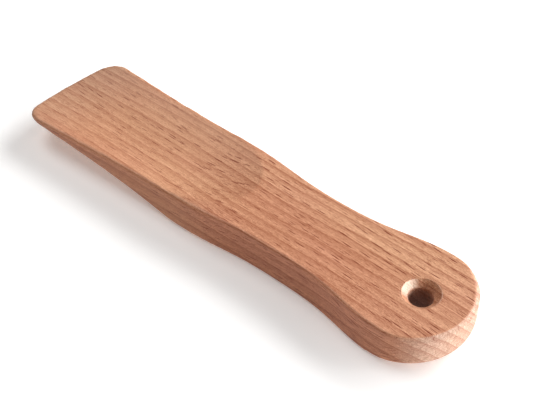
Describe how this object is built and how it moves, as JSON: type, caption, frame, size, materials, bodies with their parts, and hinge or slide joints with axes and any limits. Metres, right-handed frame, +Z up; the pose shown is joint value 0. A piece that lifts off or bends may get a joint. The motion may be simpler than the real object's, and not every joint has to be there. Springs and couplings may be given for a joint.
{
  "type": "shoehorn",
  "caption": "Short hand-held wooden shoehorn with a wide scooped blade, a waisted flat grip and a countersunk hanging hole.",
  "frame": {"origin": "middle of the footprint, on the flat underside of the grip", "axes": "+X along the grain from the blade tip to the handle end, +Z up out of the scooped face, +Y across the blade"},
  "size_m": [0.188, 0.044, 0.0142],
  "materials": {
    "beech": "sanded and lightly oiled beech, satin"
  },
  "bodies": {
    "root": {"shoehorn": "beech"}
  },
  "joints": []
}
